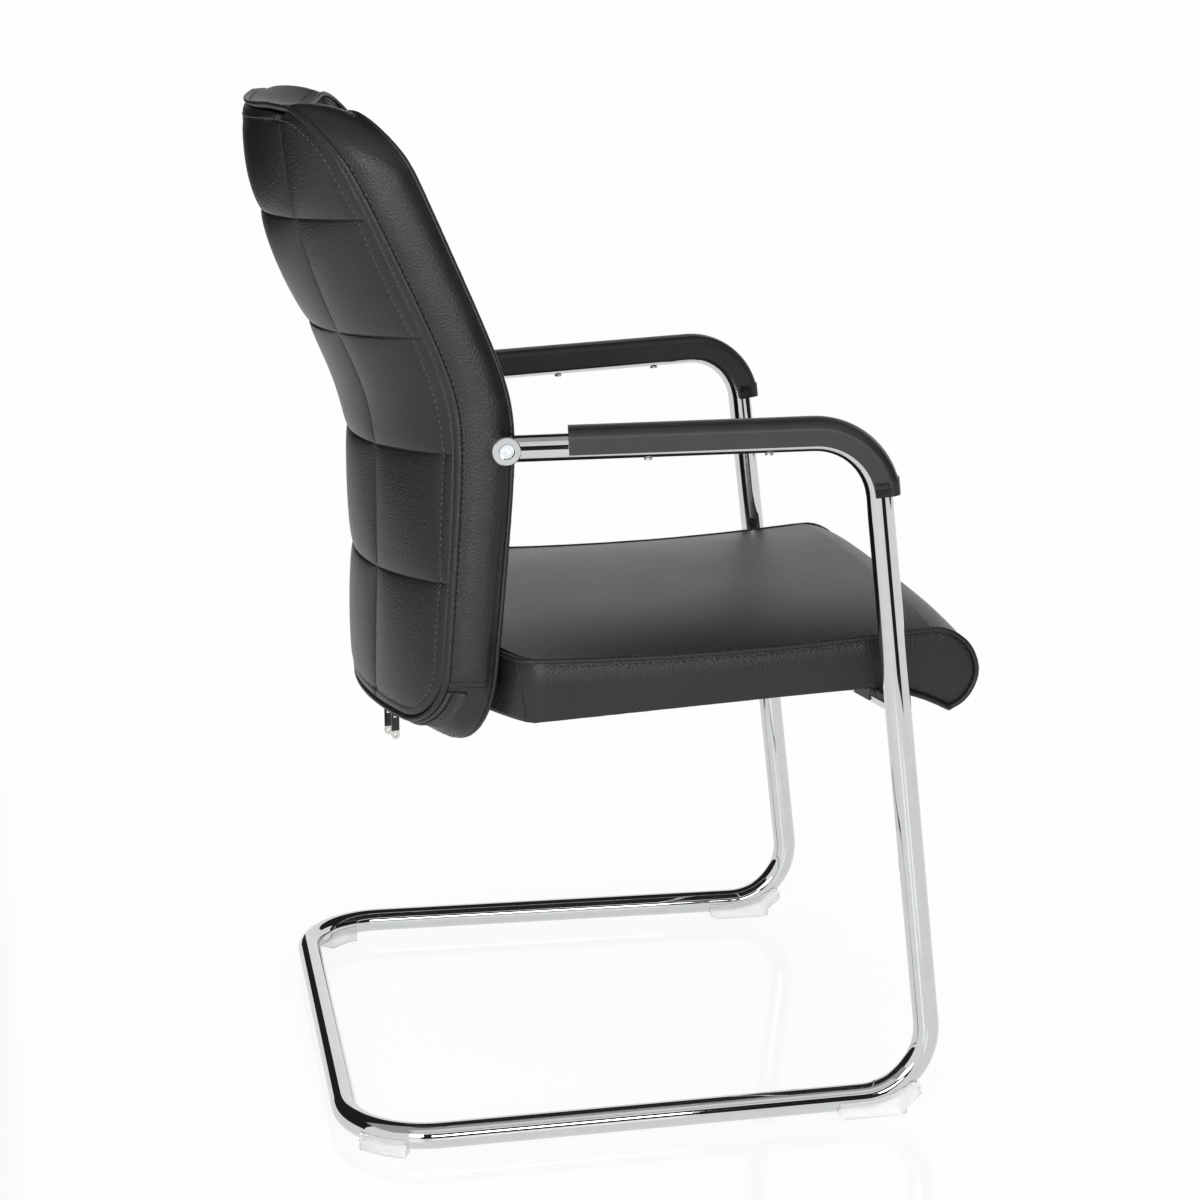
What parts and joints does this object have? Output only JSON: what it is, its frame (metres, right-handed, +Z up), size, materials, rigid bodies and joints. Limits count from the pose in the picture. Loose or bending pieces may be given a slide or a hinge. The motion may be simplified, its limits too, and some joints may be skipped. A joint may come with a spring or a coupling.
{
  "type": "cantilever chair",
  "caption": "Cantilever visitor chair: bent chromed tube sled frame with padded arms, upholstered seat and high quilted backrest that curves round the sitter.",
  "frame": {"origin": "centre of the bounding box in plan, at floor level", "axes": "+Z up, +Y towards the back of the chair, so the sitter faces -Y, and +X towards the sitter's left"},
  "size_m": [0.6062, 0.6802, 0.973],
  "materials": {
    "chromed_tube": "mirror polished plating",
    "clear_glide": "clear moulded",
    "black_plastic": "fine moulded grain",
    "zinc_plated_steel": "zinc plated",
    "black_steel": "powder coated",
    "plywood": "raw birch plywood",
    "black_leatherette": "semi-gloss fine grain",
    "dust_cloth": "spunbonded",
    "zip_tape": "woven",
    "zip_metal": "black lacquered"
  },
  "bodies": {
    "chair": {"arm_bolt_washers": "zinc_plated_steel", "arm_bolts": "zinc_plated_steel", "arm_bracket_left": "black_steel", "arm_bracket_right": "black_steel", "arm_bracket_screws": "zinc_plated_steel", "arm_eye_left": "chromed_tube", "arm_eye_right": "chromed_tube", "arm_pad_left": "black_plastic", "arm_pad_right": "black_plastic", "arm_pad_screws": "zinc_plated_steel", "back_border": "black_leatherette", "back_bracket_bolts": "zinc_plated_steel", "back_bracket_left": "black_steel", "back_bracket_right": "black_steel", "back_piping": "black_leatherette", "back_shell": "plywood", "back_zip": "zip_tape", "front_glide_left": "clear_glide", "front_glide_right": "clear_glide", "head_pillow": "black_leatherette", "lower_front_pad": "black_leatherette", "lumbar_pad": "black_leatherette", "quilted_back_pad": "black_leatherette", "rear_glide_left": "clear_glide", "rear_glide_right": "clear_glide", "seat_board": "plywood", "seat_cross_tube": "chromed_tube", "seat_cushion": "black_leatherette", "seat_dust_cover": "dust_cloth", "seat_piping": "black_leatherette", "seat_saddles": "black_plastic", "seat_tee_nuts": "zinc_plated_steel", "seat_tube_bolts": "zinc_plated_steel", "sled_frame": "chromed_tube"},
    "slider_left": {"zip_slider_left": "zip_metal"},
    "slider_right": {"zip_slider_right": "zip_metal"},
    "pull_left": {"zip_pull_left": "zip_metal"},
    "pull_right": {"zip_pull_right": "zip_metal"}
  },
  "joints": [
    {"name": "zip_left_run", "type": "hinge", "parent": "chair", "child": "slider_left", "pos_m": [0, -0.17714, 0.387], "axis": [0, 0, 1], "range_deg": [-34.3, 0]},
    {"name": "zip_right_run", "type": "hinge", "parent": "chair", "child": "slider_right", "pos_m": [0, -0.17714, 0.387], "axis": [0, 0, 1], "range_deg": [0, 4.5]},
    {"name": "zip_left_pull_swing", "type": "hinge", "parent": "slider_left", "child": "pull_left", "pos_m": [-0.095, 0.21608, 0.3815], "axis": [-0.2348, 0.972, 0], "range_deg": [-85, 18]},
    {"name": "zip_right_pull_swing", "type": "hinge", "parent": "slider_right", "child": "pull_right", "pos_m": [-0.113, 0.21129, 0.3815], "axis": [-0.2793, 0.9602, 0], "range_deg": [-18, 85]}
  ]
}
